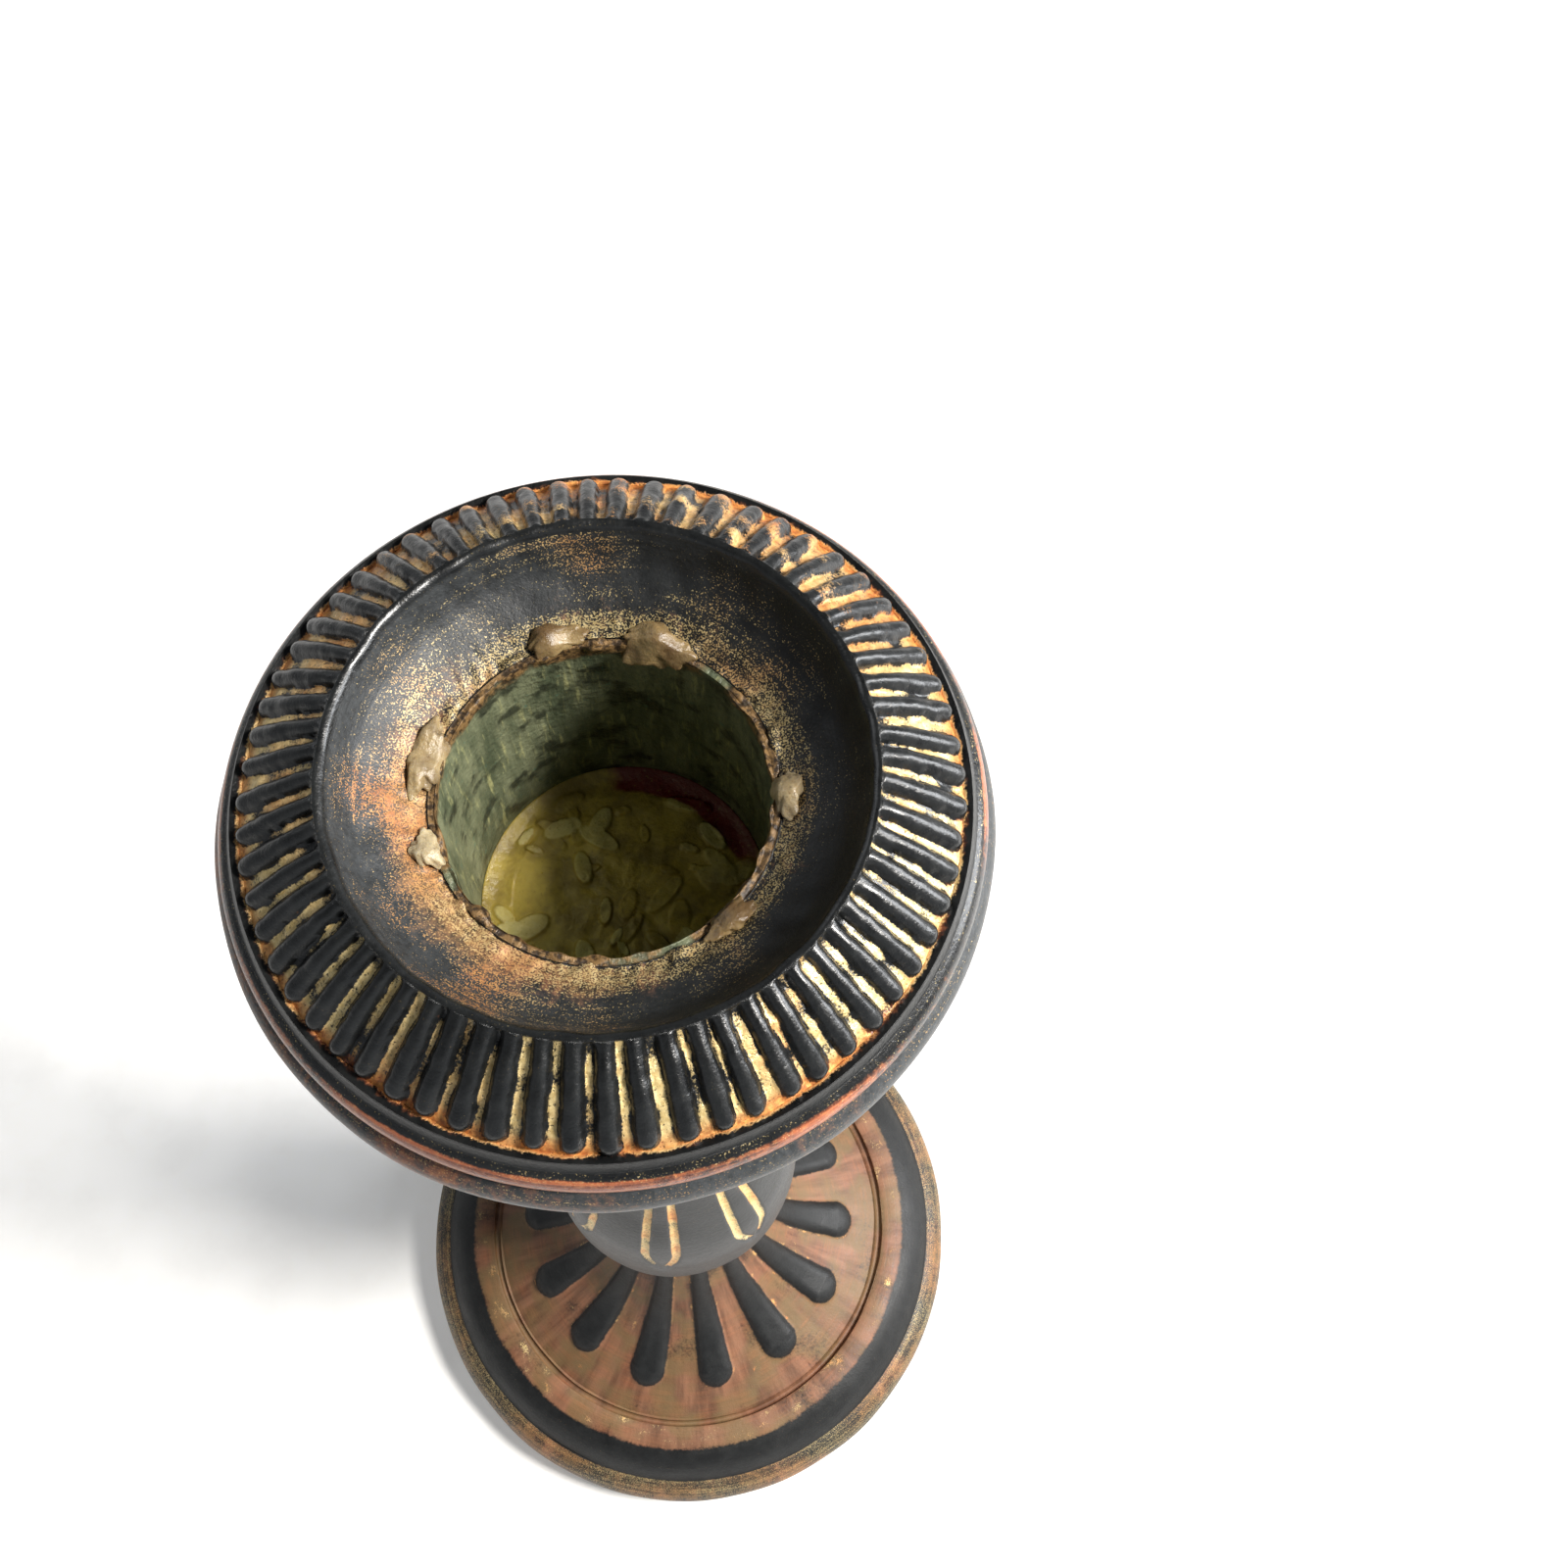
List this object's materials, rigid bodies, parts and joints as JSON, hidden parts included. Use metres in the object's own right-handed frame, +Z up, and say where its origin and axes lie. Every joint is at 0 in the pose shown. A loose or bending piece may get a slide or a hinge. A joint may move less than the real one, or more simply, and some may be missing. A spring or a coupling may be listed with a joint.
{
  "type": "candlestick",
  "caption": "Small turned and carved wooden candlestick, black with rubbed gilding, with a round foot, vase stem, reeded column, drip pan and brass lined candle socket.",
  "frame": {"origin": "on the turning axis, on the underside of the baize pad, where the candlestick rests", "axes": "+Z up along the turning axis, out of the candle socket; -Y is towards a person who looks at it from the front"},
  "size_m": [0.09, 0.09, 0.2134],
  "materials": {
    "painted_wood": "black paint with rubbed gilding, satin",
    "socket_brass": "tarnished with verdigris",
    "steel": "dull zinc plate",
    "wax": "old candle wax, semi gloss",
    "baize": "felted wool"
  },
  "bodies": {
    "root": {"baize_pad": "baize", "base": "painted_wood", "base_screw": "steel", "screw_washer": "steel", "vase_stem": "painted_wood", "reeded_column": "painted_wood", "candle_cup": "painted_wood", "socket_liner": "socket_brass", "wax_puddle": "wax", "wax_drips": "wax"}
  },
  "joints": []
}
